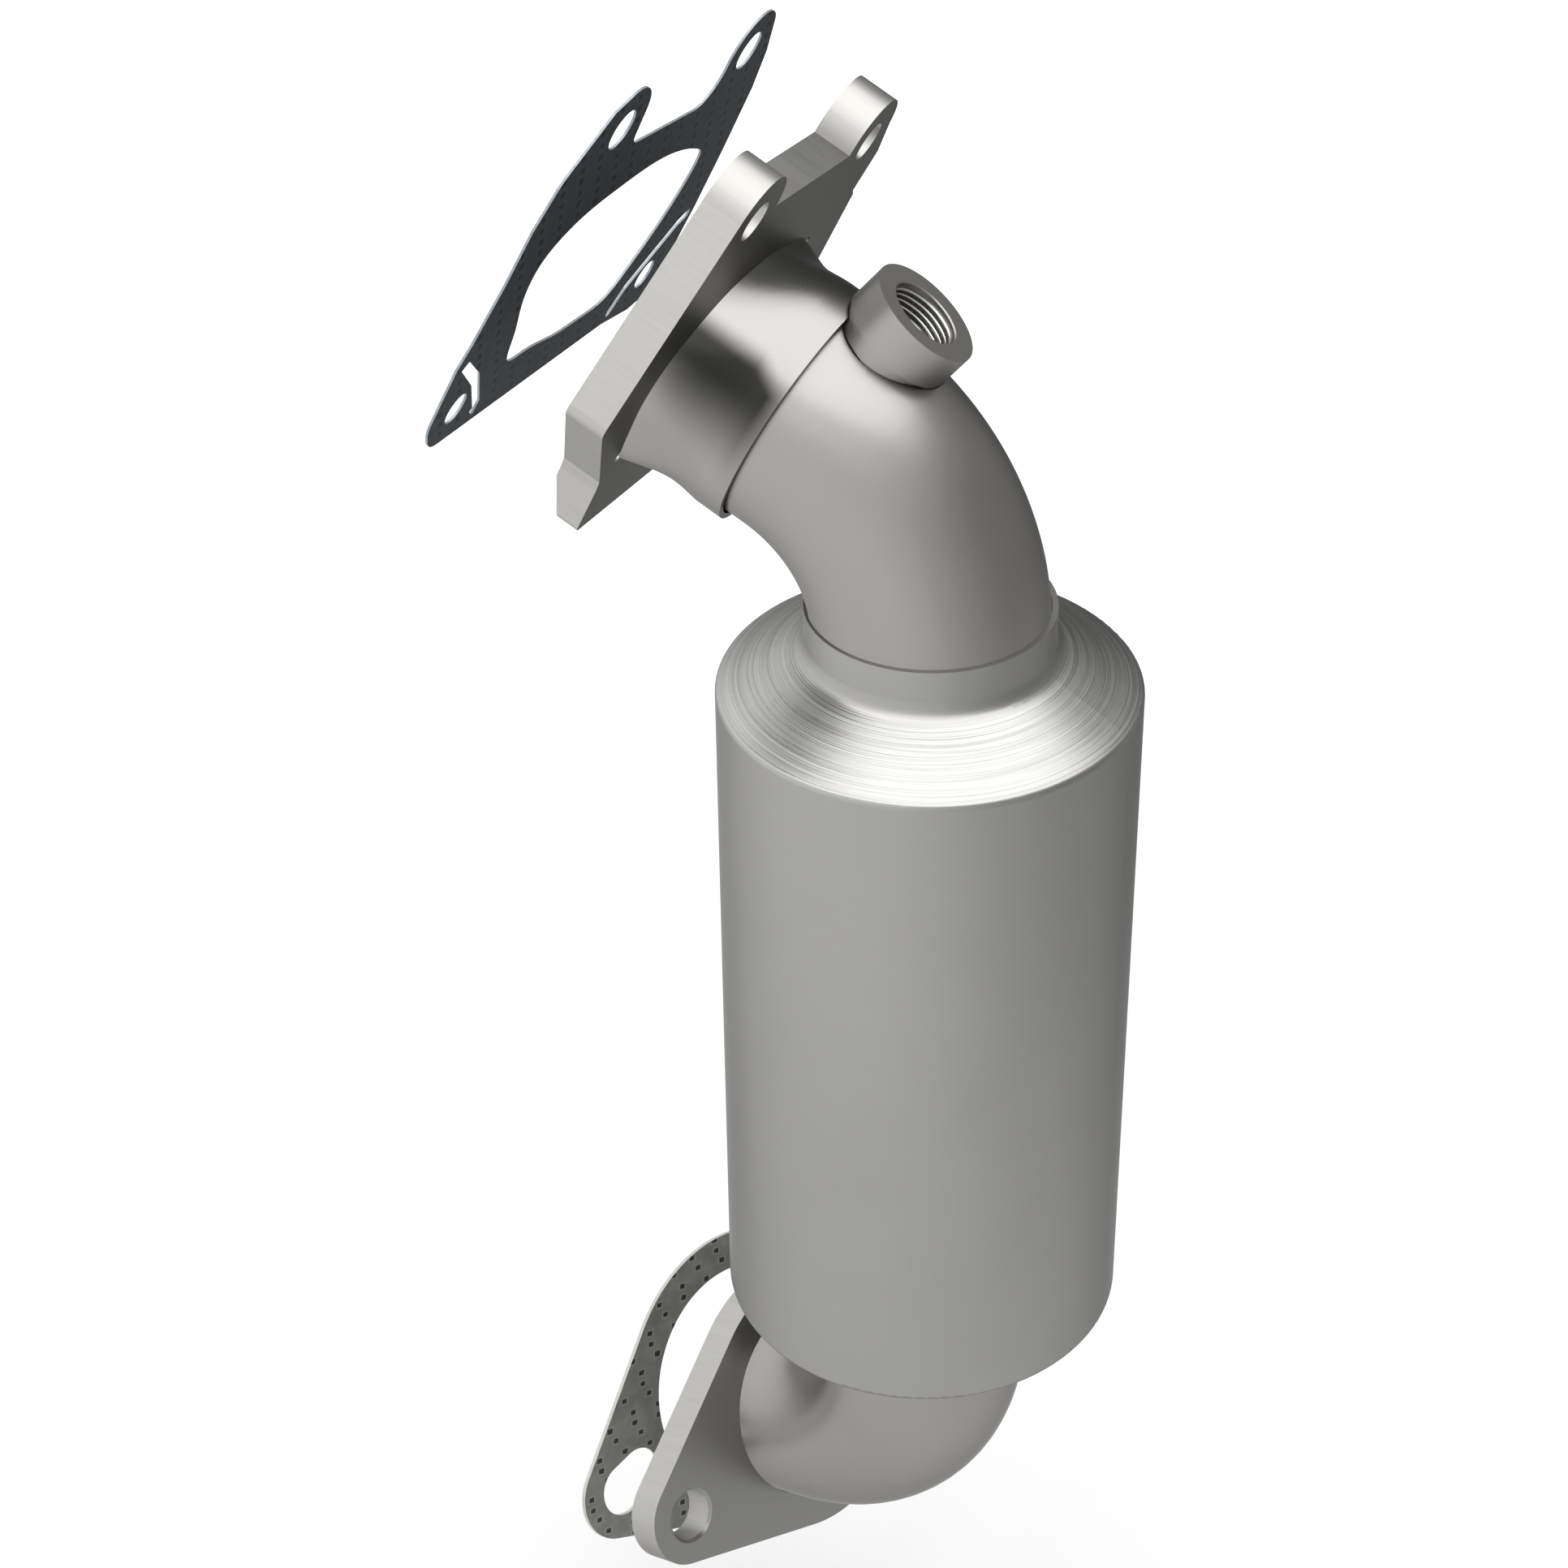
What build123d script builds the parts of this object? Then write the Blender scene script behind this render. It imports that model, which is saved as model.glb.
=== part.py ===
from build123d import *
from math import cos, radians, sin, tan
import os

os.makedirs("parts", exist_ok=True)

# Exhaust tube, 57.15 mm outside, and the clearances the joints share
tube_r = 28.575
tube_wall = 1.5
slip_gap = 0.3
plug_gap = 0.2
swage_gap = 0.25

# Can: a spun tube closed by a cone and a neck at each end
can_r = 51.33
can_wall = 1.5
can_length = 184.7
shoulder_r = 1.8
inlet_cone = 29
outlet_cone = 24
cone_fillet = 5
neck_wall = 1.2
inlet_neck_length = 11.06
outlet_neck_length = 3.47
neck_overlap = 11.5
neck_crimp = 0.3

# Catalyst bricks with their mats and end seals
mat_thick = 3.33
brick_space = 16
brick_end = 8.35
seal_length = 6
channel_size = 6.6
channel_pitch = 8.4

# Inlet elbow; its bend starts a little below the neck's lip
inlet_lip_to_bend = 6.6
inlet_bend_r = 53.1
inlet_tilt = 26
inlet_straight = 5.15

# Adapter: a round lip that turns into the egg-shaped inlet port
adapter_lip_gap = 0.725
adapter_lip_length = 7
adapter_length = 24.5
adapter_wall = 1.5
elbow_in_adapter = 5.5
swage_length = 2.5
port_radii = (38.2, 37.6, 32.2, 28.4, 26.1, 27.0, 30.2, 38.3, 38.0, 33.5, 29.0, 24.8, 22.6, 23.4, 27.5, 37.0)
blend_stations = ((0, 0), (0.25, 0.16), (0.6, 0.56), (1, 1))
weld_recess = 0.6
weld_depth = 1.4

# Inlet flange and its gasket share these holes; x and y lie in the flange
flange_thick = 10
inlet_ear_r = 11.7
stud_hole_r = 5.1
small_hole_r = 4.1
left_hole = (22.0, 52.9)
right_hole = (-46.3, 40.4)
lower_hole = (-44.2, -31.2)
ear_drop = 1.6
flange_heel = (-59.5, -52.4)
flange_foot = (40.3, -35.3)
flange_cheek = (59.1, 9.0)
flange_back = ((-61.3, 29.5), (-57.4, 18.8), (-59.5, 16.6))
flange_notch = ((40.8, -21.0), (41.6, -17.6))
ear_tangent = (32.2, 58.5)
heel_r = 15
cheek_r = 3
foot_r = 2
foot_bevel = (11, 4.45)
port_corner_r = 1.6
port_corners = ((-36.9, 13.6), (36.4, -12.4))

# Inlet gasket, shown taken off the flange: shift along x, y and outward
inlet_gasket_shift = (1.0, 1.8, 24.2)
inlet_gasket_tilt = 25
inlet_gasket_roll = -1.5
inlet_gasket_thick = 0.6
gasket_ear_r = 10.9
gasket_tab_hole = (54.5, -13.3)
gasket_back = ((-56.4, 44.4), (-61.0, 33.0), (-63.2, 20.0), (-62.5, 0), (-60.8, -17.5), (-58.2, -30.5))
gasket_heel = (-52.0, -43.1)
gasket_foot = ((-43.3, -42.8), (-26.8, -37.7))
gasket_tab = ((61.8, -22.1), (66.6, -13.0))
gasket_cheek = ((64.0, 5.0), (60.8, 11.0), (55.5, 26.0), (52.3, 40.0))
gasket_ear_side = (46.5, 50.9)
gasket_ear_top = ((31.0, 62.6), (25.0, 63.4))
gasket_saddle = ((11.1, 53.0), (11.1, 42.4), (-33.5, 31.1), (-35.7, 42.5))
gasket_port = (
    (-43.3, 10.9), (-32.9, 16.8), (-13.9, 23.7), (8.9, 26.9), (29.7, 26.4),
    (38.3, 21.5), (39.9, 13.4), (35.7, -2.1), (32.7, -12.0), (24.5, -14.6),
    (6.1, -20.5), (-8.4, -23.7), (-20.4, -24.7), (-30.4, -17.8), (-41.0, -5.4),
)
gasket_slot_path = ((-56.6, -18.0), (-52.4, -18.8), (-33.0, -28.8), (-28.8, -34.6))
gasket_slot_r = 1.5
tab_slot = (
    (58.3, 4.3), (48.6, -5.6), (40.8, -19.5), (41.8, -23.5),
    (44.3, -21.5), (43.5, -20.2), (50.5, -8.4), (60.8, 2.7),
)

# Oxygen sensor bung, M18 x 1.5, on the outside of the inlet elbow
bung_r = 14.25
bung_head = 9.6
bung_stand = 1.125
bung_pilot_r = 13.4
bung_pilot_depth = 3.075
thread_root_r = 8.9
thread_depth = 8.6
thread_relief_r = 10
mouth_chamfer = 0.3
pierce_draft = 1
bung_along = 0.9
bung_azimuth = 19.5
bung_elevation = 48.5

# Outlet elbow and its flange
outlet_lip_to_bend = 10.4
outlet_bend_r = 52.8
outlet_bend_angle = 69.7
outlet_azimuth = 164.46
outlet_straight = 5.6
outlet_flange_thick = 9.5
outlet_flange_land = 10.025
outlet_ear_r = 13.8
outlet_hole_r = 7
outlet_hole_pitch = 107.3
outlet_roll = -7.1
hole_chamfer = 0.8

# Outlet gasket, shown taken off its flange
outlet_gasket_off = 20.5
outlet_gasket_thick = 1.3
outlet_gasket_ear_r = 13.3
outlet_gasket_port_gap = 3.925
outlet_gasket_land = 10.5
outlet_gasket_slot_r = 7.45
outlet_gasket_slot = 6.8
outlet_gasket_slot_pitch = 97.8

# Radii that follow from the tube
bore_r = tube_r + slip_gap
neck_r = bore_r + neck_wall
adapter_lip_r = tube_r + adapter_lip_gap + adapter_wall
bung_seat = tube_r + bung_stand
bung_face = bung_seat + bung_head
bung_pilot_end = tube_r - bung_pilot_depth
pierce_spread = bung_seat * tan(radians(pierce_draft))
outlet_gasket_port_r = tube_r + outlet_gasket_port_gap

# Levels of the shell, from the top of the can's straight side
inlet_slope = tan(radians(inlet_cone))
outlet_slope = tan(radians(outlet_cone))
inner_r = can_r - can_wall
top_edge = shoulder_r * tan(radians((90 - inlet_cone) / 2))
foot_edge = -can_length - shoulder_r * tan(radians((90 - outlet_cone) / 2))
top_skin = top_edge - can_wall / cos(radians(inlet_cone))
foot_skin = foot_edge + can_wall / cos(radians(outlet_cone))
neck_top = top_edge + (can_r - neck_r) * inlet_slope
neck_foot = foot_edge - (can_r - neck_r) * outlet_slope
upper_lip = neck_top + inlet_neck_length
lower_lip = neck_foot - outlet_neck_length
brick_length = (can_length - brick_space - 2 * brick_end) / 2

# Directions of the two ports
up = Vector(0, 0, 1)
side = Vector(0, -1, 0)
port_dir = Vector(-cos(radians(inlet_tilt)), 0, sin(radians(inlet_tilt)))
port_up = Vector(sin(radians(inlet_tilt)), 0, cos(radians(inlet_tilt)))
out_flat = Vector(cos(radians(outlet_azimuth)), sin(radians(outlet_azimuth)), 0)
out_side = Vector(-sin(radians(outlet_azimuth)), cos(radians(outlet_azimuth)), 0)
out_dir = out_flat * sin(radians(outlet_bend_angle)) - up * cos(radians(outlet_bend_angle))

# From the inlet face down to the top of the can; the origin lies on that
# face, midway between the two upper stud holes
inlet_turn = 90 - inlet_tilt
studs_x = (left_hole[0] + right_hole[0]) / 2
studs_y = (left_hole[1] + right_hole[1]) / 2
inlet_face = side * -studs_x - port_up * studs_y
inlet_inner = inlet_face - port_dir * flange_thick
lip = inlet_inner - port_dir * adapter_length
inlet_bend_to = lip - port_dir * inlet_straight
inlet_run = inlet_bend_r * (1 - cos(radians(inlet_turn)))
inlet_rise = inlet_bend_r * sin(radians(inlet_turn))
inlet_bend_from = inlet_bend_to + Vector(inlet_run, 0, -inlet_rise)
can_top = inlet_bend_from - up * (upper_lip - inlet_lip_to_bend)
lip_plane = Plane(origin=lip, x_dir=side, z_dir=port_dir)
port_plane = Plane(origin=inlet_inner, x_dir=side, z_dir=port_dir)
inlet_tube_from = can_top + up * (upper_lip - neck_overlap)

# From the foot of the can to the outlet face
outlet_tube_from = can_top + up * (lower_lip + neck_overlap)
outlet_bend_from = can_top + up * (lower_lip - outlet_lip_to_bend)
outlet_run = outlet_bend_r * (1 - cos(radians(outlet_bend_angle)))
outlet_drop = outlet_bend_r * sin(radians(outlet_bend_angle))
outlet_bend_to = outlet_bend_from + out_flat * outlet_run - up * outlet_drop
outlet_inner = outlet_bend_to + out_dir * outlet_straight
outlet_plane = Plane(origin=outlet_inner, x_dir=out_side, z_dir=out_dir)

# The bung stands on the elbow's centre line just past the bend
bung_flat = Vector(cos(radians(bung_azimuth)), sin(radians(bung_azimuth)), 0)
bung_dir = bung_flat * cos(radians(bung_elevation)) + up * sin(radians(bung_elevation))
bung_plane = Plane(origin=inlet_bend_to + port_dir * bung_along, z_dir=bung_dir)

# The inlet flange's lower edge, seen along its length
foot_run = Vector(flange_foot[0] - flange_heel[0], flange_foot[1] - flange_heel[1], 0).normalized()
foot_dir = side * foot_run.X + port_up * foot_run.Y
foot_in = port_up * foot_run.X - side * foot_run.Y
foot_at = inlet_inner + side * flange_foot[0] + port_up * flange_foot[1]
foot_plane = Plane(origin=foot_at, x_dir=foot_in, z_dir=foot_dir)


def port_points(share, grow):
    step = 360 / len(port_radii)
    radii = [adapter_lip_r + (r - adapter_lip_r) * share + grow for r in port_radii]
    return [(r * cos(radians(i * step)), r * sin(radians(i * step))) for i, r in enumerate(radii)]


def corner(x, y):
    return vertices().sort_by_distance((x, y))[0]


# Inlet flange: two ears above the port, a broad foot below it, and a bevel
# along the foot's edge on the mating side
bevel_in, bevel_deep = foot_bevel
with BuildPart() as inlet_flange:
    with BuildSketch(port_plane):
        with BuildLine():
            Polyline(
                right_hole,
                (right_hole[0] - inlet_ear_r, right_hole[1]),
                *flange_back,
                flange_heel,
                flange_foot,
                *flange_notch,
                flange_cheek,
                ear_tangent,
                left_hole,
                (left_hole[0] - inlet_ear_r, left_hole[1] - ear_drop),
                (right_hole[0] + inlet_ear_r, right_hole[1] + ear_drop),
                close=True,
            )
        make_face()
        fillet(corner(*flange_heel), radius=heel_r)
        fillet(corner(*flange_foot), radius=foot_r)
        fillet(corner(*flange_cheek), radius=cheek_r)
        with Locations(left_hole, right_hole):
            Circle(inlet_ear_r)
            Circle(stud_hole_r, mode=Mode.SUBTRACT)
        with Locations(lower_hole):
            Circle(small_hole_r, mode=Mode.SUBTRACT)
        with Locations(*port_corners):
            Circle(port_corner_r, mode=Mode.SUBTRACT)
        with BuildLine():
            Spline(port_points(1, plug_gap), periodic=True)
        make_face(mode=Mode.SUBTRACT)
    extrude(amount=flange_thick)
    with BuildSketch(foot_plane):
        with BuildLine():
            Polyline(
                (bevel_in, flange_thick),
                (-bevel_in, flange_thick - 2 * bevel_deep),
                (-bevel_in, flange_thick),
                close=True,
            )
        make_face()
    extrude(amount=2 * can_r, both=True, mode=Mode.SUBTRACT)
inlet_flange.part.label = "inlet_flange"
export_step(inlet_flange.part, "parts/inlet_flange.step")

# Adapter: lip, blend and egg-shaped spigot, first solid and then bored; the
# hole for the bung is pierced from outside and widens a little inwards
with BuildPart() as inlet_adapter:
    for grow, how in ((0, Mode.ADD), (-adapter_wall, Mode.SUBTRACT)):
        with BuildSketch(lip_plane):
            with BuildLine():
                Spline(port_points(0, grow), periodic=True)
            make_face()
        extrude(amount=adapter_lip_length, mode=how)
        for t, share in blend_stations:
            along = adapter_lip_length + t * (adapter_length - adapter_lip_length)
            with BuildSketch(lip_plane.offset(along)):
                with BuildLine():
                    Spline(port_points(share, grow), periodic=True)
                make_face()
        loft(mode=how)
        with BuildSketch(port_plane):
            with BuildLine():
                Spline(port_points(1, grow), periodic=True)
            make_face()
        extrude(amount=flange_thick - weld_recess - weld_depth, mode=how)
    with BuildSketch(bung_plane):
        Circle(bung_pilot_r + slip_gap + pierce_spread)
    extrude(amount=bung_face, taper=pierce_draft, mode=Mode.SUBTRACT)
inlet_adapter.part.label = "inlet_adapter"
export_step(inlet_adapter.part, "parts/inlet_adapter.step")

# Weld inside the inlet port, sloping from the spigot's bore to the flange
with BuildPart() as inlet_flange_weld:
    with BuildSketch(port_plane.offset(flange_thick - weld_recess - weld_depth)):
        with BuildLine():
            Spline(port_points(1, plug_gap), periodic=True)
        make_face()
    extrude(amount=weld_depth)
    for rise, grow in ((0, -adapter_wall), (weld_depth, -swage_gap)):
        with BuildSketch(port_plane.offset(flange_thick - weld_recess - weld_depth + rise)):
            with BuildLine():
                Spline(port_points(1, grow), periodic=True)
            make_face()
    loft(mode=Mode.SUBTRACT)
inlet_flange_weld.part.label = "inlet_flange_weld"
export_step(inlet_flange_weld.part, "parts/inlet_flange_weld.step")

# Inlet elbow: one bent tube from inside the neck to inside the adapter lip
with BuildPart() as inlet_elbow:
    with BuildLine():
        Line(inlet_tube_from, inlet_bend_from)
        TangentArc(inlet_bend_from, inlet_bend_to, tangent=up)
        Line(inlet_bend_to, lip + port_dir * elbow_in_adapter)
    with BuildSketch(Plane(origin=inlet_tube_from, z_dir=up)):
        Circle(tube_r)
        Circle(tube_r - tube_wall, mode=Mode.SUBTRACT)
    sweep()
    with BuildSketch(lip_plane.offset(elbow_in_adapter - swage_length)):
        Circle(adapter_lip_r - adapter_wall - swage_gap)
        Circle(tube_r - tube_wall, mode=Mode.SUBTRACT)
    extrude(amount=swage_length)
    with BuildSketch(bung_plane.offset(bung_seat - plug_gap)):
        Circle(bung_r + plug_gap)
    extrude(amount=bung_head, taper=-pierce_draft, mode=Mode.SUBTRACT)
    with BuildSketch(bung_plane):
        Circle(bung_pilot_r + plug_gap + pierce_spread)
    extrude(amount=bung_face, taper=pierce_draft, mode=Mode.SUBTRACT)
inlet_elbow.part.label = "inlet_elbow"
export_step(inlet_elbow.part, "parts/inlet_elbow.step")

# Sensor bung: a head, a pilot through the tube wall and the thread's bore,
# which is relieved below the thread
with BuildPart() as sensor_bung:
    with BuildSketch(bung_plane.offset(bung_pilot_end)):
        Circle(bung_pilot_r)
    extrude(amount=bung_face - bung_pilot_end)
    with BuildSketch(bung_plane.offset(bung_seat)):
        Circle(bung_r)
    extrude(amount=bung_head)
    with BuildSketch(bung_plane.offset(bung_pilot_end)):
        Circle(thread_root_r)
    extrude(amount=bung_face - bung_pilot_end, mode=Mode.SUBTRACT)
    with BuildSketch(bung_plane.offset(bung_pilot_end)):
        Circle(thread_relief_r)
    extrude(amount=bung_face - thread_depth - bung_pilot_end, mode=Mode.SUBTRACT)
    mouth = edges().filter_by(GeomType.CIRCLE).sort_by(Axis((0, 0, 0), bung_dir))[-2:]
    chamfer(mouth.sort_by(SortBy.RADIUS)[0], length=mouth_chamfer)
sensor_bung.part.label = "sensor_bung"
export_step(sensor_bung.part, "parts/sensor_bung.step")

# Shell: half its section, turned round the axis of the can; the neck's lip
# is then cleared along the tube's bend
with BuildPart() as converter_shell:
    with BuildSketch(Plane(origin=can_top, x_dir=(1, 0, 0), z_dir=side)):
        with BuildLine():
            Polyline(
                (bore_r - neck_crimp, top_skin + (can_r - bore_r + neck_crimp) * inlet_slope),
                (bore_r - neck_crimp, upper_lip),
                (neck_r, upper_lip),
                (neck_r, neck_top),
                (can_r, top_edge),
                (can_r, foot_edge),
                (neck_r, neck_foot),
                (neck_r, lower_lip),
                (bore_r, lower_lip),
                (bore_r, foot_skin - (can_r - bore_r) * outlet_slope),
                (inner_r, foot_skin - can_wall * outlet_slope),
                (inner_r, top_skin + can_wall * inlet_slope),
                close=True,
            )
        make_face()
        fillet([corner(can_r, top_edge), corner(can_r, foot_edge)], radius=shoulder_r)
        fillet([corner(neck_r, neck_top), corner(neck_r, neck_foot)], radius=cone_fillet)
    revolve(axis=Axis(can_top, up))
    with BuildLine():
        Line(can_top, inlet_bend_from)
        TangentArc(inlet_bend_from, inlet_bend_to, tangent=up)
    with BuildSketch(Plane(origin=can_top, z_dir=up)):
        Circle(bore_r)
    sweep(mode=Mode.SUBTRACT)
converter_shell.part.label = "converter_shell"
export_step(converter_shell.part, "parts/converter_shell.step")

# Bricks, each with a mat round its middle and a mesh seal at each end
brick_r = inner_r - mat_thick
half_gap = (brick_space + brick_length) / 2
for name, middle in (("front", half_gap), ("rear", -half_gap)):
    brick_foot = can_top - up * (can_length / 2 - middle + brick_length / 2)
    with BuildPart() as brick:
        with BuildSketch(Plane(origin=brick_foot, z_dir=up)):
            Circle(brick_r)
            lines = int(brick_r / channel_pitch)
            for i in range(-lines, lines + 1):
                for j in range(-lines, lines + 1):
                    reach = (max(abs(i), abs(j)) + 0.5) * channel_pitch
                    across = (min(abs(i), abs(j)) + 0.5) * channel_pitch
                    if reach * reach + across * across < brick_r * brick_r:
                        with Locations((i * channel_pitch, j * channel_pitch)):
                            Rectangle(channel_size, channel_size, mode=Mode.SUBTRACT)
        extrude(amount=brick_length)
    brick.part.label = name + "_brick"
    export_step(brick.part, "parts/" + name + "_brick.step")
    for piece, start, length in (
        ("mat", seal_length, brick_length - 2 * seal_length),
        ("upper_seal", brick_length - seal_length, seal_length),
        ("lower_seal", 0, seal_length),
    ):
        with BuildPart() as ring:
            with BuildSketch(Plane(origin=brick_foot + up * start, z_dir=up)):
                Circle(inner_r)
                Circle(brick_r, mode=Mode.SUBTRACT)
            extrude(amount=length)
        ring.part.label = name + "_" + piece
        export_step(ring.part, "parts/" + name + "_" + piece + ".step")

# Outlet elbow: from inside the lower neck to just short of the outlet face
outlet_end = outlet_flange_thick - weld_recess - weld_depth
with BuildPart() as outlet_elbow:
    with BuildLine():
        Line(outlet_tube_from, outlet_bend_from)
        TangentArc(outlet_bend_from, outlet_bend_to, tangent=-up)
        Line(outlet_bend_to, outlet_inner + out_dir * outlet_end)
    with BuildSketch(Plane(origin=outlet_tube_from, z_dir=-up)):
        Circle(tube_r)
        Circle(tube_r - tube_wall, mode=Mode.SUBTRACT)
    sweep()
outlet_elbow.part.label = "outlet_elbow"
export_step(outlet_elbow.part, "parts/outlet_elbow.step")

# Outlet flange: a two-bolt diamond
with BuildPart() as outlet_flange:
    with BuildSketch(outlet_plane):
        Circle(tube_r + outlet_flange_land)
        with PolarLocations(outlet_hole_pitch / 2, 2, start_angle=outlet_roll):
            Circle(outlet_ear_r)
        make_hull()
        Circle(tube_r + plug_gap, mode=Mode.SUBTRACT)
        with PolarLocations(outlet_hole_pitch / 2, 2, start_angle=outlet_roll):
            Circle(outlet_hole_r, mode=Mode.SUBTRACT)
    extrude(amount=outlet_flange_thick)
    rims = edges().filter_by(GeomType.CIRCLE).filter_by(lambda e: abs(e.radius - outlet_hole_r) < 0.01)
    chamfer(rims, length=hole_chamfer)
outlet_flange.part.label = "outlet_flange"
export_step(outlet_flange.part, "parts/outlet_flange.step")

# Weld inside the outlet port
with BuildPart() as outlet_flange_weld:
    with BuildSketch(outlet_plane.offset(outlet_end)):
        Circle(tube_r + plug_gap)
    extrude(amount=weld_depth)
    for rise, r in ((0, tube_r - tube_wall), (weld_depth, tube_r - swage_gap)):
        with BuildSketch(outlet_plane.offset(outlet_end + rise)):
            Circle(r)
    loft(mode=Mode.SUBTRACT)
outlet_flange_weld.part.label = "outlet_flange_weld"
export_step(outlet_flange_weld.part, "parts/outlet_flange_weld.step")

# Inlet gasket: cut to suit more than one flange, so it has a spare tab
gasket_dir = Vector(-cos(radians(inlet_gasket_tilt)), 0, sin(radians(inlet_gasket_tilt)))
gasket_up = Vector(sin(radians(inlet_gasket_tilt)), 0, cos(radians(inlet_gasket_tilt)))
gasket_x = side * cos(radians(inlet_gasket_roll)) + gasket_up * sin(radians(inlet_gasket_roll))
gasket_x_shift, gasket_y_shift, gasket_off = inlet_gasket_shift
gasket_at = inlet_face + side * gasket_x_shift + port_up * gasket_y_shift + port_dir * gasket_off
with BuildPart() as inlet_gasket:
    with BuildSketch(Plane(origin=gasket_at, x_dir=gasket_x, z_dir=gasket_dir)):
        with BuildLine():
            Polyline(
                right_hole,
                *gasket_back,
                gasket_heel,
                *gasket_foot,
                *gasket_tab,
                *gasket_cheek,
                gasket_ear_side,
                *gasket_ear_top,
                left_hole,
                *gasket_saddle,
                close=True,
            )
        make_face()
        fillet([corner(*gasket_heel), corner(*gasket_saddle[1])], radius=4)
        fillet([corner(*point) for point in gasket_tab], radius=9)
        fillet([corner(*gasket_saddle[2]), corner(*gasket_ear_side)], radius=9)
        with Locations(left_hole, right_hole):
            Circle(gasket_ear_r)
            Circle(stud_hole_r, mode=Mode.SUBTRACT)
        with Locations(lower_hole, gasket_tab_hole):
            Circle(small_hole_r, mode=Mode.SUBTRACT)
        with BuildLine():
            Spline(gasket_port, periodic=True)
        make_face(mode=Mode.SUBTRACT)
        with BuildLine():
            Polyline(gasket_slot_path)
            offset(amount=gasket_slot_r)
        make_face(mode=Mode.SUBTRACT)
        with BuildLine():
            Polyline(tab_slot, close=True)
        make_face(mode=Mode.SUBTRACT)
    extrude(amount=inlet_gasket_thick)
inlet_gasket.part.label = "inlet_gasket"
export_step(inlet_gasket.part, "parts/inlet_gasket.step")

# Outlet gasket: a thin diamond with a slot at each bolt
with BuildPart() as outlet_gasket:
    with BuildSketch(outlet_plane.offset(outlet_flange_thick + outlet_gasket_off)):
        Circle(outlet_gasket_port_r + outlet_gasket_land)
        with PolarLocations(outlet_hole_pitch / 2, 2, start_angle=outlet_roll):
            Circle(outlet_gasket_ear_r)
        make_hull()
        Circle(outlet_gasket_port_r, mode=Mode.SUBTRACT)
        with PolarLocations(outlet_gasket_slot_pitch / 2, 2, start_angle=outlet_roll):
            SlotCenterToCenter(outlet_gasket_slot, 2 * outlet_gasket_slot_r, mode=Mode.SUBTRACT)
    extrude(amount=outlet_gasket_thick)
outlet_gasket.part.label = "outlet_gasket"
export_step(outlet_gasket.part, "parts/outlet_gasket.step")
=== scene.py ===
from math import cos, degrees, pi, radians, sin

import bpy
from mathutils import Matrix, Vector


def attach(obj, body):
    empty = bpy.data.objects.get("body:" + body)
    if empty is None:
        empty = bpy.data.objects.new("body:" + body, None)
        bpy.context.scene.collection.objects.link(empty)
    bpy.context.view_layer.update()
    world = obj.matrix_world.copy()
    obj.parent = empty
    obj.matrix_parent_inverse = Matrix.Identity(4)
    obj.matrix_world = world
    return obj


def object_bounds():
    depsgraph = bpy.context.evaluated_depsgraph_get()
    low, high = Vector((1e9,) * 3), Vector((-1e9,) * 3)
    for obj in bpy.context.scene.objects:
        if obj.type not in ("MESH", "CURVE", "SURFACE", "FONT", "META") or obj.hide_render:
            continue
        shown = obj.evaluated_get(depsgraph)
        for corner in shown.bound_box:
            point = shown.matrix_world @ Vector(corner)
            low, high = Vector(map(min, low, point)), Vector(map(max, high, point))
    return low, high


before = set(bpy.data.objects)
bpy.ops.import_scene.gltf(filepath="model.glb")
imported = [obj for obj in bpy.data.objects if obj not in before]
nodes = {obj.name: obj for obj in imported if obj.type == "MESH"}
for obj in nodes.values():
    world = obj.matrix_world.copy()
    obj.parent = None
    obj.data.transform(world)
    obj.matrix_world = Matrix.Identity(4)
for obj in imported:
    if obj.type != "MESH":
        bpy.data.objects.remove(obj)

cad_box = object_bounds()


# Directions in the row's frame, from an azimuth and an elevation in degrees
def direction(azimuth, elevation):
    turn, rise = radians(azimuth), radians(elevation)
    return Vector((cos(turn) * cos(rise), sin(turn) * cos(rise), sin(rise)))


# A plate's own axes: out of its face, sideways, and up along the face
def face_axes(azimuth, elevation):
    ahead = direction(azimuth, elevation)
    side = direction(azimuth + 90, 0)
    return ahead, side, ahead.cross(side)


# Places on the part, in metres, as its solids have them: the middle of the
# inlet port in the mating face and of the adapter's lip, the top and foot of the
# can's straight side, the bung's face, and the port in the outlet's mating face
PORT = Vector((-0.020450, -0.012150, -0.041929))
PORT_DIR, PORT_SIDE, PORT_UP = face_axes(180, 26)
ADAPTER_LIP = PORT - PORT_DIR * 0.0345
CAN = Vector((0.045010, -0.012150, -0.124336))
CAN_FOOT = CAN.z - 0.1847
BUNG = Vector((0.038926, -0.003457, -0.029482))
BUNG_DIR = direction(19.5, 48.5)
OUTLET = Vector((-0.001856, 0.000882, -0.388295))
OUT_DIR, OUT_SIDE, OUT_UP = face_axes(164.46, -20.3)
GASKET_DIR, GASKET_SIDE, GASKET_UP = face_axes(180, 25)


# Camera, as fitted to the photograph
CAMERA_FROM_CAN = Vector((0.299594, -0.656953, 0.482030))
CAMERA_RIGHT = Vector((0.892216, 0.451467, -0.011366))
CAMERA_DOWN = Vector((0.252324, -0.519216, -0.816546))
CAMERA_AHEAD = Vector((-0.374545, 0.725667, -0.577169))


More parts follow.
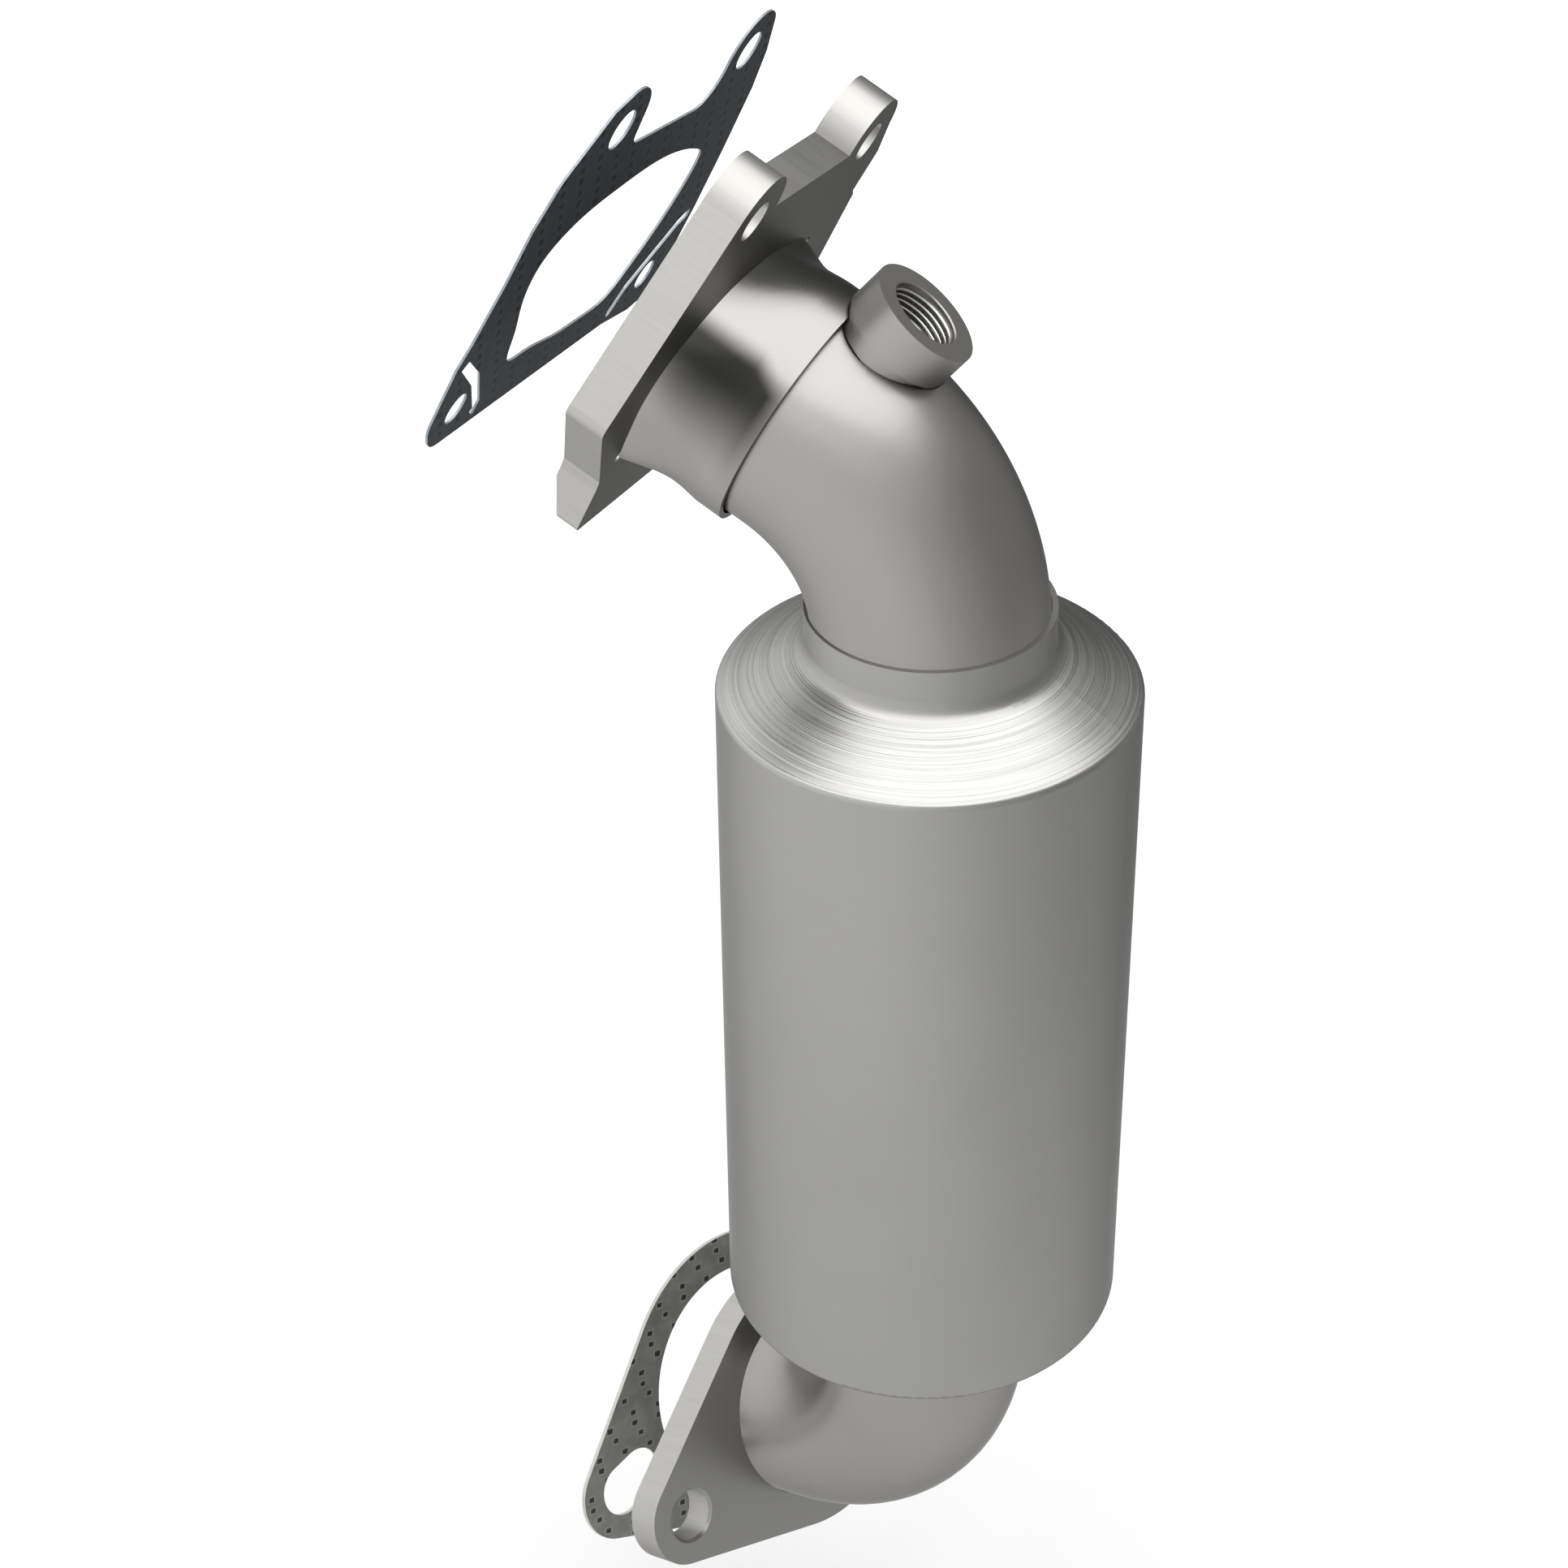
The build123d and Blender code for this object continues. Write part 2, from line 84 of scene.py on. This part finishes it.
def make_camera():
    data = bpy.data.cameras.new("camera")
    data.sensor_width = 36
    data.lens = 83.33
    data.clip_end = 50
    cam = bpy.data.objects.new("camera", data)
    bpy.context.collection.objects.link(cam)
    turn = Matrix((CAMERA_RIGHT, -CAMERA_DOWN, -CAMERA_AHEAD)).transposed().to_4x4()
    cam.matrix_world = Matrix.Translation(CAN + CAMERA_FROM_CAN) @ turn
    bpy.context.scene.camera = cam


make_camera()


# The middle of a noise's range, which holds most of its values
NOISE_MIDDLE = (0.3, 0.7)


# A material and short names for the nodes that it is made of
class Mat:
    def __init__(self, name, **sockets):
        self.mat = bpy.data.materials.new(name)
        self.mat.use_nodes = True
        self.tree = self.mat.node_tree
        self.bsdf = self.tree.nodes["Principled BSDF"]
        for key, value in sockets.items():
            self.bsdf.inputs[key.replace("_", " ")].default_value = value

    def node(self, kind, inputs=None, **settings):
        made = self.tree.nodes.new("ShaderNode" + kind)
        for key, value in settings.items():
            setattr(made, key, value)
        for key, value in (inputs or {}).items():
            if isinstance(value, bpy.types.NodeSocket):
                self.tree.links.new(value, made.inputs[key])
            else:
                made.inputs[key].default_value = value
        return made

    def math(self, how, a, b=0.0, clamp=False):
        return self.node("Math", {0: a, 1: b}, operation=how, use_clamp=clamp).outputs[0]

    def add(self, a, b, clamp=False):
        return self.math("ADD", a, b, clamp)

    def less(self, a, b, clamp=False):
        return self.math("SUBTRACT", a, b, clamp)

    def times(self, a, b):
        return self.math("MULTIPLY", a, b)

    def ramp(self, value, low, high, out_low=0.0, out_high=1.0):
        limits = {"From Min": low, "From Max": high, "To Min": out_low, "To Max": out_high}
        return self.node("MapRange", {"Value": value, **limits}).outputs["Result"]

    def soft(self, value, low, high):
        limits = {"From Min": low, "From Max": high}
        got = self.node("MapRange", {"Value": value, **limits}, interpolation_type="SMOOTHSTEP")
        return got.outputs["Result"]

    def noise(self, where, scale, detail=3.0, rough=0.5):
        inputs = {"Vector": where, "Scale": scale, "Detail": detail, "Roughness": rough}
        got = self.node("TexNoise", inputs)
        return got.outputs["Factor" if "Factor" in got.outputs else "Fac"]

    def colour(self, factor, first, second):
        got = self.node("Mix", {"Factor": factor}, data_type="RGBA")
        for name, value in (("A", first), ("B", second)):
            socket = [s for s in got.inputs if s.name == name and s.type == "RGBA"][0]
            if isinstance(value, bpy.types.NodeSocket):
                self.tree.links.new(value, socket)
            else:
                socket.default_value = (*value, 1)
        return [s for s in got.outputs if s.type == "RGBA"][0]

    # A colour, or a number, between two ends as a noise goes through its middle
    def mottle(self, noise, first, second, middle=NOISE_MIDDLE):
        return self.colour(self.ramp(noise, *middle), first, second)

    def between(self, noise, first, second, middle=NOISE_MIDDLE):
        return self.ramp(noise, *middle, first, second)

    def place(self, origin=None):
        at = self.node("TexCoord").outputs["Object"]
        if origin is None:
            return at
        return self.node("VectorMath", {0: at, 1: tuple(origin)}, operation="SUBTRACT").outputs[0]

    # Plan x and y from an upright axis, the height z, and the distance out
    def round_axis(self, axis):
        apart = self.node("SeparateXYZ", {0: self.place()})
        x = self.less(apart.outputs[0], axis.x)
        y = self.less(apart.outputs[1], axis.y)
        out = self.math("SQRT", self.add(self.times(x, x), self.times(y, y)))
        return x, y, apart.outputs[2], out

    def along(self, where, axis):
        inputs = {0: where, 1: tuple(axis)}
        return self.node("VectorMath", inputs, operation="DOT_PRODUCT").outputs["Value"]

    def facing(self, axis):
        return self.math("ABSOLUTE", self.along(self.node("NewGeometry").outputs["Normal"], axis))

    def set(self, name, socket):
        self.tree.links.new(socket, self.bsdf.inputs[name])

    def bump(self, height, depth):
        return self.node("Bump", {"Height": height, "Distance": depth}).outputs["Normal"]


def shades(tone, spread):
    return [c * (1 - spread) for c in tone], [c * (1 + spread) for c in tone]


def scaled(tone, share):
    return [c * share for c in tone]


# Bare metal. The tint holds back how much it brightens at grazing angles
def metal(name, tint):
    return Mat(name, Metallic=1.0, Specular_Tint=(tint, tint, tint, 1))


# Plain satin metal: a faint cloud in colour and roughness and a fine grain
CLOUD_SCALE = 30
GRAIN_SCALE = 1500


def satin(name, tone, roughness, grain=0.000002):
    m = metal(name, 0.5)
    cloud = m.noise(m.place(), CLOUD_SCALE)
    fine = m.noise(m.place(), GRAIN_SCALE, 2)
    m.set("Base Color", m.mottle(cloud, *shades(tone, 0.02)))
    worn = m.add(cloud, m.times(fine, 0.5))
    m.set("Roughness", m.ramp(worn, 0.4, 1.1, roughness - 0.02, roughness + 0.02))
    m.set("Normal", m.bump(fine, grain))
    return m


# The adapter's satin with painted light: a painted dark reflection lies as a
# streak along its camera side, and painted shade darkens it again behind its
# highlight. Angles are degrees round the port's axis, from its side axis
# upwards, and off is millimetres from the lip to the flange
PAINTED_DARK_TOP_AT_LIP = (47, 34)
PAINTED_DARK_TOP_AT_FLANGE = (53, 40)
PAINTED_DARK_FOOT = (-22, 33)
PAINTED_SHADE_BEHIND = (82, 108)
SLANT = 1.3
PAINTED_DARK_TONE = 0.09


def satin_with_painted_dark(name, tone, roughness):
    m = satin(name, tone, roughness, grain=0.0000005)
    plain = m.bsdf.inputs["Base Color"].links[0].from_socket
    spot = m.place(ADAPTER_LIP)
    turn = m.times(m.math("ARCTAN2", m.along(spot, PORT_UP), m.along(spot, PORT_SIDE)), degrees(1))
    off = m.times(m.along(spot, PORT_DIR), 1000)
    slant = m.times(off, SLANT)
    # dark is the angle where the painted dark reflection is full
    bright, dark = [m.ramp(off, 3, 9, *ends) for ends in zip(PAINTED_DARK_TOP_AT_LIP, PAINTED_DARK_TOP_AT_FLANGE)]
    top = m.soft(turn, bright, dark)
    foot = m.soft(turn, m.add(slant, PAINTED_DARK_FOOT[0]), PAINTED_DARK_FOOT[1])
    fade_at_lip = m.ramp(off, 0, 3, 0.6, 1)
    painted_shade_behind = m.times(m.soft(m.add(turn, slant), *PAINTED_SHADE_BEHIND), 0.6)
    # The streak is painted light: a painted dark reflection on the camera side, plus painted shade behind the
    # highlight
    streak = m.add(m.times(m.times(top, foot), fade_at_lip), painted_shade_behind, clamp=True)
    m.set("Base Color", m.colour(streak, plain, scaled(tone, PAINTED_DARK_TONE)))
    return m


# Spun sheet: fine and broad rings round the can's axis on its two cones, which
# start over the can's rounded edge and end where the necks turn up
CAN_EDGE = 0.0012
NECK_TURN = (0.0305, 0.0335)
SCRATCH_STRETCH = 0.55
SCRATCHES_PER_METRE = 4200
BAND_STRETCH = 1.1
BANDS_PER_METRE = 2400


def spun(name):
    m = metal(name, 0.45)
    x, y, z, out = m.round_axis(CAN)
    round_x = m.math("DIVIDE", x, out)
    round_y = m.math("DIVIDE", y, out)

    def rings(stretch, per_metre):
        inputs = {"X": m.times(round_x, stretch), "Y": m.times(round_y, stretch), "Z": m.times(out, per_metre)}
        return m.node("CombineXYZ", inputs).outputs[0]

    upper = m.ramp(z, CAN.z, CAN.z + CAN_EDGE)
    lower = m.ramp(z, CAN_FOOT, CAN_FOOT - CAN_EDGE)
    cone = m.times(m.add(upper, lower, clamp=True), m.ramp(out, *NECK_TURN))
    scratch = m.noise(rings(SCRATCH_STRETCH, SCRATCHES_PER_METRE), 1.0, 3, 0.55)
    band = m.noise(rings(BAND_STRETCH, BANDS_PER_METRE), 1.0, 2)
    marks = m.add(m.times(scratch, 0.7), m.times(band, 0.3))
    cloud = m.noise(m.place(), CLOUD_SCALE)
    side_tone = m.mottle(cloud, *shades((0.360, 0.356, 0.345), 0.02))
    cone_tone = m.mottle(marks, (0.35, 0.347, 0.338), (0.52, 0.517, 0.508), (0.38, 0.62))
    m.set("Base Color", m.colour(cone, side_tone, cone_tone))
    cone_wear = m.times(cone, m.between(marks, -0.04, 0.05, (0.4, 0.6)))
    m.set("Roughness", m.add(m.between(cloud, 0.29, 0.31), cone_wear))
    m.set("Normal", m.bump(m.times(marks, cone), 0.0001))
    return m


# Cut plate: smooth faces, painted darker than the sides as painted shade, and
# streaks across the thickness on the sides
PLATE_TONE = (0.44, 0.435, 0.42)
FACE_PAINTED_SHADE_SHARE = 0.68
SIDE_SHARE = 1.02
STREAKS_ACROSS = 900
STREAKS_THROUGH = 30


def plate(name, normal):
    m = metal(name, 0.4)
    at = m.place()
    side = m.ramp(m.facing(normal), 0.5, 0.2)
    spot = m.node("VectorMath", {0: at, 1: (STREAKS_ACROSS,) * 3}, operation="MULTIPLY").outputs[0]
    through = m.times(m.along(at, normal), STREAKS_ACROSS - STREAKS_THROUGH)
    pressed = m.node("VectorMath", {0: tuple(normal), "Scale": through}, operation="SCALE").outputs[0]
    line = m.node("VectorMath", {0: spot, 1: pressed}, operation="SUBTRACT").outputs[0]
    streak = m.noise(line, 1.0, 3, 0.6)
    cloud = m.noise(at, 35)
    # The faces' darker tone is painted shade
    painted_shade_face_tone = m.mottle(cloud, *shades(scaled(PLATE_TONE, FACE_PAINTED_SHADE_SHARE), 0.015))
    side_tone = m.mottle(streak, *shades(scaled(PLATE_TONE, SIDE_SHARE), 0.03), middle=(0.35, 0.65))
    m.set("Base Color", m.colour(side, painted_shade_face_tone, side_tone))
    m.set("Roughness", m.ramp(m.add(cloud, m.times(side, streak)), 0.3, 1.2, 0.36, 0.44))
    m.set("Normal", m.bump(m.times(streak, side), 0.000012))
    return m


# Where a point lies in steps of a and b, which are two directions in a plane
def in_steps(m, x, y, a, b):
    area = a[0] * b[1] - a[1] * b[0]
    u = m.add(m.times(x, b[1] / area), m.times(y, -b[0] / area))
    v = m.add(m.times(x, -a[1] / area), m.times(y, a[0] / area))
    return u, v


# Place within the nearest cell of a slanted grid: a is one step along a row
# and b one step to the next row, both in millimetres in the sheet's plane
def grid(m, origin, axes, a, b, offset=(0, 0)):
    spot = m.place(origin)
    x, y = [m.less(m.times(m.along(spot, axis), 1000), by) for axis, by in zip(axes, offset)]
    u, v = [m.less(m.math("FRACT", step), 0.5) for step in in_steps(m, x, y, a, b)]
    return [m.add(m.times(u, a[i]), m.times(v, b[i])) for i in range(2)]


# Nearness to a diamond round the cell's middle: 1 on its outline, whose
# corners lie at the two given half diagonals
def diamond(m, spot, long, short):
    u, v = in_steps(m, *spot, long, short)
    return m.add(m.math("ABSOLUTE", u), m.math("ABSOLUTE", v))


# Inlet gasket: slate coating with short slanted ticks, bare pale edges
TICK_STEPS = ((-10.82, -5.08), (-2.44, -4.53))
TICK_SHAPE = ((-0.49, 1.33), (-1.82, -1.32))


def ticked(name):
    m = Mat(name, Specular_IOR_Level=0.25)
    wobble = m.between(m.noise(m.place(), 160, 2), -0.2, 0.2)
    spot = grid(m, PORT, (GASKET_SIDE, GASKET_UP), *TICK_STEPS)
    reach = m.add(diamond(m, spot, *TICK_SHAPE), wobble)
    tick = m.ramp(reach, 1.1, 0.7)
    halo = m.less(m.ramp(reach, 1.7, 1.1), tick, clamp=True)
    grainy = m.noise(m.place(), 700, 3)
    coat = m.mottle(grainy, (0.023, 0.030, 0.038), (0.032, 0.041, 0.050))
    lit = m.colour(m.times(halo, 0.5), coat, (0.060, 0.070, 0.080))
    face = m.colour(tick, lit, (0.008, 0.009, 0.011))
    edge = m.ramp(m.facing(GASKET_DIR), 0.75, 0.55)
    bare = m.mottle(grainy, (0.34, 0.37, 0.40), (0.42, 0.45, 0.48))
    m.set("Base Color", m.colour(edge, face, bare))
    m.set("Metallic", m.times(edge, 0.6))
    m.set("Roughness", m.ramp(m.add(edge, grainy), 0.3, 1.6, 0.62, 0.48))
    m.set("Normal", m.bump(m.less(m.times(grainy, 0.1), tick), 0.00004))
    return m


# Outlet gasket: mottled grey facing with small diamond holes in threes, which
# are painted near black as painted shade
HOLE_STEPS = ((-2.06, -11.65), (6.94, -8.91))
HOLE_SHAPE = ((-1.3, 0.39), (-0.61, -1.0))
HOLES_OF_THREE = ((0.0, 0.0), (0.67, -3.19), (-0.36, -6.92))
BEYOND_ANY_HOLE = 9.0


def perforated(name):
    m = Mat(name)
    nearest = BEYOND_ANY_HOLE
    for shift in HOLES_OF_THREE:
        spot = grid(m, OUTLET, (OUT_SIDE, OUT_UP), *HOLE_STEPS, shift)
        nearest = m.math("MINIMUM", nearest, diamond(m, spot, *HOLE_SHAPE))
    wobble = m.between(m.noise(m.place(), 300, 2), -0.15, 0.15)
    nearest = m.add(nearest, wobble)
    # The holes are painted shade on the uncut facing
    painted_hole_shade = m.ramp(nearest, 1.0, 0.75)
    rim = m.less(m.ramp(nearest, 1.6, 1.1), painted_hole_shade, clamp=True)
    flecks = m.noise(m.place(), 120, 5, 0.65)
    facing = m.mottle(flecks, (0.21, 0.208, 0.19), (0.31, 0.308, 0.29), (0.35, 0.65))
    rimmed = m.colour(m.times(rim, 0.55), facing, (0.42, 0.42, 0.40))
    face = m.colour(painted_hole_shade, rimmed, (0.018, 0.017, 0.015))
    edge = m.ramp(m.facing(OUT_DIR), 0.75, 0.55)
    bare = m.mottle(flecks, (0.60, 0.60, 0.57), (0.70, 0.70, 0.67))
    m.set("Base Color", m.colour(edge, face, bare))
    m.set("Metallic", m.times(edge, 0.5))
    m.set("Roughness", m.between(flecks, 0.55, 0.68))
    m.set("Normal", m.bump(m.less(m.times(flecks, 0.3), painted_hole_shade), 0.00006))
    return m


# Coated ceramic: a fine square grid of channels on the ends, painted as dark
# squares of painted shade where the open channels lie
CHANNEL_PITCH = 1.05
CHANNEL_EDGE = (0.40, 0.46)


def honeycomb(name):
    m = Mat(name, Metallic=0.0)
    plan = (Vector((1, 0, 0)), Vector((0, 1, 0)))
    x, y = grid(m, CAN, plan, (CHANNEL_PITCH, 0), (0, CHANNEL_PITCH))
    wall = m.ramp(m.math("MAXIMUM", m.math("ABSOLUTE", x), m.math("ABSOLUTE", y)), *CHANNEL_EDGE)
    ends = m.ramp(m.facing((0, 0, 1)), 0.7, 0.9)
    # dark marks the channels, painted near black as painted shade
    dark = m.times(ends, m.less(1.0, wall))
    dust = m.noise(m.place(), 250, 4)
    clay = m.mottle(dust, (0.46, 0.37, 0.26), (0.56, 0.47, 0.35))
    m.set("Base Color", m.colour(dark, clay, (0.05, 0.04, 0.03)))
    m.set("Roughness", m.between(dust, 0.82, 0.92))
    m.set("Normal", m.bump(m.less(m.times(dust, 0.2), dark), 0.0002))
    return m


# Rough surfaces: fibre mat, knitted mesh and weld bead
def rough_stuff(name, tone, scale, depth, roughness, metallic):
    m = Mat(name, Metallic=metallic)
    knots = m.node("TexVoronoi", {"Vector": m.place(), "Scale": scale}).outputs["Distance"]
    fuzz = m.noise(m.place(), scale * 0.4, 5, 0.6)
    m.set("Base Color", m.mottle(fuzz, *shades(tone, 0.12)))
    m.set("Roughness", m.between(fuzz, roughness - 0.05, roughness + 0.05))
    m.set("Normal", m.bump(m.add(knots, fuzz), depth))
    return m


def dress(names, mat):
    for name in names:
        slots = nodes[name].data.materials
        if not slots:
            slots.append(mat.mat)
        for i in range(len(slots)):
            slots[i] = mat.mat


TUBE_TONE = (0.345, 0.338, 0.326)
SEALS = ("front_upper_seal", "front_lower_seal", "rear_upper_seal", "rear_lower_seal")
dress(["inlet_elbow", "outlet_elbow"], satin("tube_satin", TUBE_TONE, 0.30))
dress(["inlet_adapter"], satin_with_painted_dark("adapter_satin_painted_dark", TUBE_TONE, 0.28))
dress(["converter_shell"], spun("spun_shell"))
dress(["inlet_flange"], plate("inlet_plate", PORT_DIR))
dress(["outlet_flange"], plate("outlet_plate", OUT_DIR))
dress(["sensor_bung"], satin("bung_steel", (0.36, 0.353, 0.337), 0.40))
weld_bead = rough_stuff("weld_bead", (0.36, 0.34, 0.32), 500, 0.0002, roughness=0.38, metallic=1.0)
dress(["inlet_flange_weld", "outlet_flange_weld"], weld_bead)
dress(SEALS, rough_stuff("wire_mesh", (0.34, 0.33, 0.31), 1400, 0.0003, roughness=0.5, metallic=1.0))
mat_fibre = rough_stuff("mat_fibre", (0.72, 0.69, 0.62), 900, 0.0003, roughness=0.9, metallic=0.0)
dress(["front_mat", "rear_mat"], mat_fibre)
for brick in ("front_brick", "rear_brick"):
    dress([brick], honeycomb("honeycomb_" + brick))
dress(["inlet_gasket"], ticked("dark_gasket"))
dress(["outlet_gasket"], perforated("grey_gasket"))


# The bung's thread: one ridge wound round the bore from its mouth inwards, of
# M18 x 1.5. Its root is set a little into the bore's wall
THREAD_ROOT = 0.00892
THREAD_CREST = 0.00832
THREAD_PITCH = 0.0015
THREAD_START = 0.0013
THREAD_TURNS = 4.6
STEPS_A_TURN = 48
FADE_STEPS = 12
THINNEST = 0.05

# Across the ridge: the share of its height, and the place in pitches
RIDGE = ((0, -0.5), (1, -0.08), (1, 0.08), (0, 0.5))


def make_object(name, verts, faces, material):
    data = bpy.data.meshes.new(name)
    data.from_pydata(verts, [], faces)
    data.materials.append(material.mat)
    made = bpy.data.objects.new(name, data)
    bpy.context.collection.objects.link(made)
    return made


def wound_ridge(name, material):
    across = BUNG_DIR.cross(Vector((0, 0, 1))).normalized()
    second = BUNG_DIR.cross(across)
    steps = int(THREAD_TURNS * STEPS_A_TURN)
    corners = len(RIDGE)
    verts = []
    for i in range(steps + 1):
        turns = i / STEPS_A_TURN
        fade = min(1, i / FADE_STEPS, (THREAD_TURNS * STEPS_A_TURN - i) / FADE_STEPS)
        ray = across * cos(2 * pi * turns) + second * sin(2 * pi * turns)
        for height, rise in RIDGE:
            away = THREAD_ROOT + (THREAD_CREST - THREAD_ROOT) * height * fade
            down = THREAD_START + (turns + rise * max(fade, THINNEST)) * THREAD_PITCH
            verts.append(BUNG - BUNG_DIR * down + ray * away)
    first = tuple(reversed(range(corners)))
    last = tuple(range(len(verts) - corners, len(verts)))
    faces = [first, last]
    for i in range(steps):
        for j in range(corners):
            a, b = corners * i + j, corners * i + (j + 1) % corners
            faces.append((a, b, b + corners, a + corners))
    made = make_object(name, verts, faces, material)
    made.data.shade_smooth()
    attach(made, "root")


wound_ridge("bung_thread", satin("thread_cut", (0.60, 0.595, 0.58), 0.28))

# The plates and the can stay out of the tubes' reflections, as in the photograph
for name in ("inlet_flange", "outlet_flange", "converter_shell"):
    nodes[name].visible_glossy = False

# The stage: floor, reflected cup, lamp and world
FLOOR_Z = cad_box[0][2] - 0.06
FLOOR_RADIUS = 6
FLOOR_GLOW = 0.25
FLOOR_FADE = (0.4, 1.6)
STAGE = Vector((CAN.x, CAN.y, -0.2))


def circle(radius, z, count):
    turns = [2 * pi * i / count for i in range(count)]
    return [(STAGE.x + radius * cos(a), STAGE.y + radius * sin(a), z) for a in turns]


# One level for what the camera sees, directly, by reflection or through glass,
# and another for the light that falls on things
def seen_glow(tree, other_level, seen_level):
    path = tree.nodes.new("ShaderNodeLightPath")
    seen = path.outputs["Is Camera Ray"]
    for other in ("Is Glossy Ray", "Is Transmission Ray"):
        both = tree.nodes.new("ShaderNodeMath")
        both.operation = "MAXIMUM"
        tree.links.new(seen, both.inputs[0])
        tree.links.new(path.outputs[other], both.inputs[1])
        seen = both.outputs[0]
    level = tree.nodes.new("ShaderNodeMapRange")
    tree.links.new(seen, level.inputs["Value"])
    level.inputs["To Min"].default_value = other_level
    level.inputs["To Max"].default_value = seen_level
    return level.outputs["Result"]


# A pale floor that takes the part's shadow and fades to white far from it
def make_floor():
    m = Mat("floor_white", Roughness=0.95, Specular_IOR_Level=0.0, Emission_Color=(1, 1, 1, 1))
    m.set("Base Color", m.mottle(m.noise(m.place(), 1.5, 2), (0.885,) * 3, (0.89,) * 3))
    m.set("Normal", m.bump(m.noise(m.place(), 400, 2), 0.00001))
    x, y, z, out = m.round_axis(STAGE)
    m.set("Emission Strength", m.times(seen_glow(m.tree, 0.0, FLOOR_GLOW), m.ramp(out, *FLOOR_FADE, 1, 4)))
    count = 64
    make_object("floor", circle(FLOOR_RADIUS, FLOOR_Z, count), [tuple(range(count))], m)


make_floor()

# A cup round the part that only reflections show: its wall is bright to the
# camera's left and dark to its right, and fades into an even floor. The levels
# stand at degrees of azimuth from the camera's own
CUP_RADIUS = 0.48
CUP_TOP = 0.36
CUP_GLOW = (2.0, 3.2)
CUP_FLOOR_LEVEL = 0.92
CUP_INNER_RADIUS = 0.12
CUP_RISE = 0.28
CAMERA_AZIMUTH = -65.5
CUP_LEVELS = (
    (-140, 1.2), (-80, 1.2), (-20, 1.1), (0, 0.98), (20, 0.76), (40, 0.58),
    (60, 0.44), (80, 0.36), (140, 0.36), (160, 0.2), (180, 0.2),
)


def make_cup():
    m = Mat("cup_glow", Roughness=1.0, Specular_IOR_Level=0.0, Base_Color=(0, 0, 0, 1))
    x, y, z, out = m.round_axis(STAGE)
    share = m.add(m.math("DIVIDE", m.math("ARCTAN2", y, x), 2 * pi), 0.5)
    ramp = m.node("ValToRGB", {"Fac": share})
    stops = sorted(((CAMERA_AZIMUTH + turn + 180) % 360 / 360, level) for turn, level in CUP_LEVELS)
    while len(ramp.color_ramp.elements) < len(stops):
        ramp.color_ramp.elements.new(0.5)
    for element, (spot, level) in zip(ramp.color_ramp.elements, stops):
        element.position = spot
        element.color = (level / 2, level / 2, level / 2, 1)
    inward = m.ramp(out, CUP_RADIUS, CUP_INNER_RADIUS, 0, 0.6)
    down = m.ramp(z, FLOOR_Z + CUP_RISE, FLOOR_Z, 0, 0.4)
    m.set("Emission Color", m.colour(m.add(inward, down), ramp.outputs["Color"], (CUP_FLOOR_LEVEL / 2,) * 3))
    m.set("Emission Strength", m.ramp(z, STAGE.z + CUP_RISE, CUP_TOP, *CUP_GLOW))
    count = 96
    verts = circle(CUP_RADIUS, FLOOR_Z + 0.002, count) + circle(CUP_RADIUS, CUP_TOP, count)
    faces = [tuple(range(count))]
    for i in range(count):
        after = (i + 1) % count
        faces.append((i, after, after + count, i + count))
    cup = make_object("cup", verts, faces, m)
    cup.visible_camera = False
    cup.visible_diffuse = False
    cup.visible_shadow = False


make_cup()


# One wide round lamp straight above
LAMP_SIZE = 4.0
LAMP_POWER = 56
LAMP_HEIGHT = 2.2


def make_lamp():
    data = bpy.data.lights.new("top_box", "AREA")
    data.shape = "DISK"
    data.size = LAMP_SIZE
    data.energy = LAMP_POWER
    lamp = bpy.data.objects.new("top_box", data)
    bpy.context.collection.objects.link(lamp)
    lamp.location = STAGE + Vector((0, 0, LAMP_HEIGHT))
    lamp.rotation_euler = Vector((0, 0, -1)).to_track_quat("-Z", "Y").to_euler()


make_lamp()

# A dim even light from all round, seen by the camera as white
WORLD_LIGHT = 0.4
WORLD_SEEN = 1.0
world = bpy.data.worlds.new("studio")
bpy.context.scene.world = world
world.use_nodes = True
back = world.node_tree.nodes["Background"]
back.inputs["Color"].default_value = (1, 1, 1, 1)
strength = seen_glow(world.node_tree, WORLD_LIGHT, WORLD_SEEN)
world.node_tree.links.new(strength, back.inputs["Strength"])

bpy.context.scene.view_settings.view_transform = "Standard"


def corners(box):
    return [list(map(float, corner)) for corner in box]
